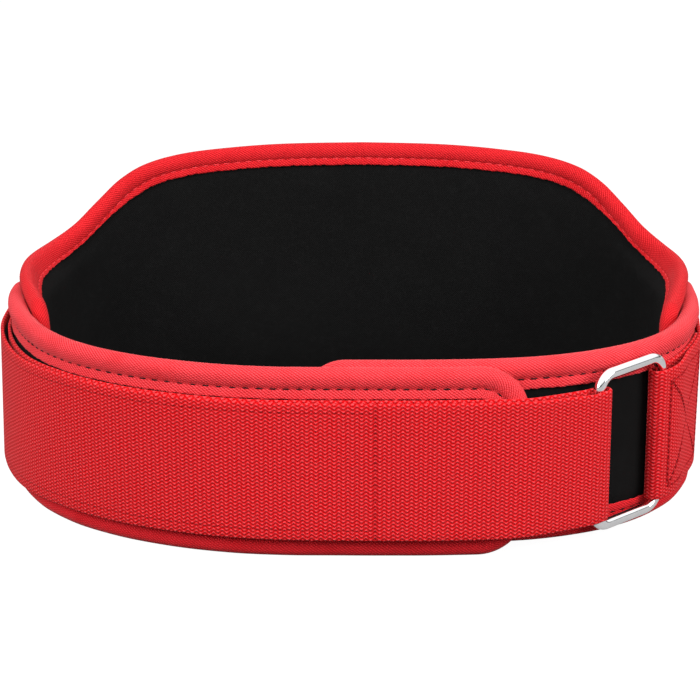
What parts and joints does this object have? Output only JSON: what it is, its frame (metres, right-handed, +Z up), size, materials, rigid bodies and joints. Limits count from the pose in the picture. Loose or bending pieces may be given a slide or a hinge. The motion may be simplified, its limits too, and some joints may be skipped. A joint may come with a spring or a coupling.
{
  "type": "weightlifting belt",
  "caption": "Padded weightlifting belt, closed to an oval: tall rounded back panel, lower front wings, taped edges, wide webbing strap looped through a metal ring.",
  "frame": {"origin": "under the middle of the closed belt, on the surface that it stands on", "axes": "+X to the side where the ring is, -Y to the fastened front, +Z up"},
  "size_m": [0.3944, 0.2942, 0.1592],
  "materials": {
    "black_cloth": "matt smooth cloth over foam",
    "red_binding": "twill tape, slight sheen",
    "red_webbing": "coarse ridged webbing, matt",
    "black_hook_tape": "matt hook tape",
    "chrome_ring": "polished plating"
  },
  "bodies": {
    "root": {"back_panel": "black_cloth", "back_binding": "red_binding", "left_wing": "black_cloth", "left_wing_binding": "red_binding", "right_wing": "black_cloth", "right_wing_binding": "red_binding", "strap": "red_webbing", "hook_tape": "black_hook_tape", "ring": "chrome_ring"}
  },
  "joints": []
}
